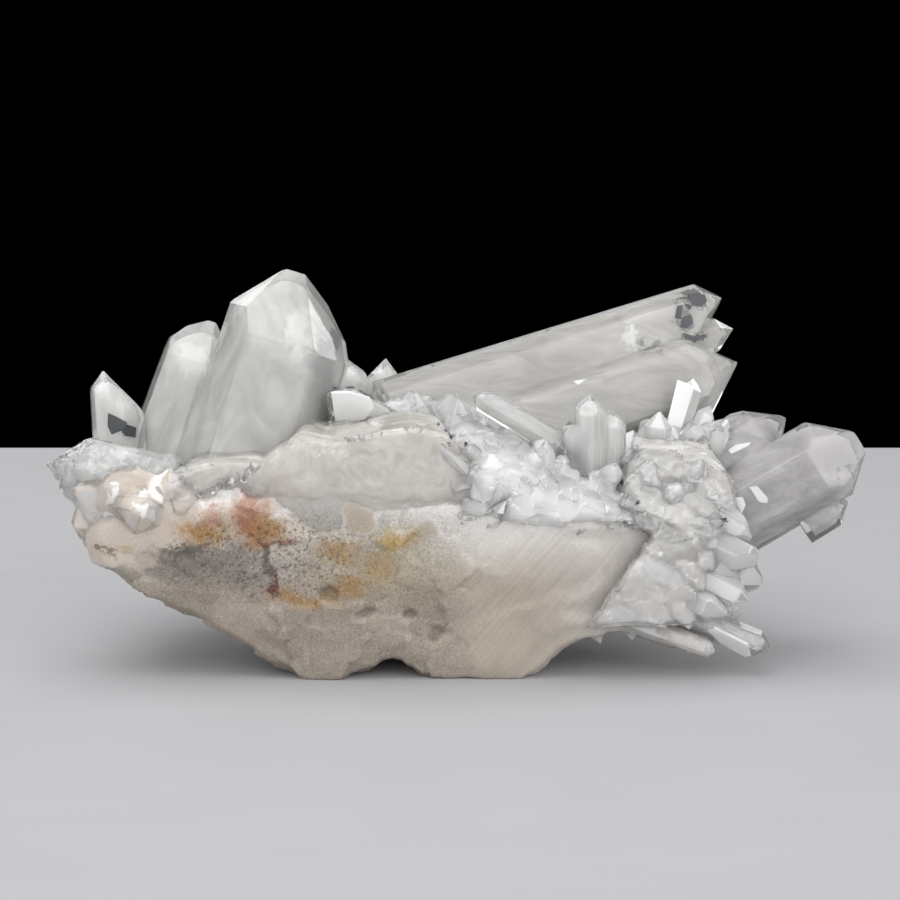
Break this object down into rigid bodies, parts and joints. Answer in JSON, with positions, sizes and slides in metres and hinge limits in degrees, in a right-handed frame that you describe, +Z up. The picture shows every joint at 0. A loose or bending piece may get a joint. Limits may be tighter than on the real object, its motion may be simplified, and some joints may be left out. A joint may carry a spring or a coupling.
{
  "type": "rock crystal cluster",
  "caption": "Cluster of clear and milky quartz crystals on a broken, iron-stained quartz base, resting on small flat feet.",
  "frame": {"origin": "centre of the bounding box on the surface that the cluster rests on", "axes": "+X along the length, towards the long crystals' tips; +Z up; the broken face looks towards -Y"},
  "size_m": [0.197, 0.0912, 0.0954],
  "materials": {
    "milky_quartz": "sugary broken milky quartz with ochre and rust stains",
    "clear_quartz": "clear to cloudy quartz with bright natural faces",
    "smoky_quartz": "clear quartz with a faint smoky tint towards the tips"
  },
  "bodies": {
    "root": {"matrix": "milky_quartz", "main_crystals": "clear_quartz", "left_point": "clear_quartz", "left_stub": "clear_quartz", "back_points": "clear_quartz", "long_crystals": "clear_quartz", "slanted_blade": "clear_quartz", "striated_bundle": "clear_quartz", "right_crystals": "smoky_quartz", "finger_crystal": "clear_quartz", "notch_crystal": "clear_quartz", "rear_left_crystals": "clear_quartz", "rear_middle_crystals": "clear_quartz", "rear_right_crystals": "clear_quartz"}
  },
  "joints": []
}
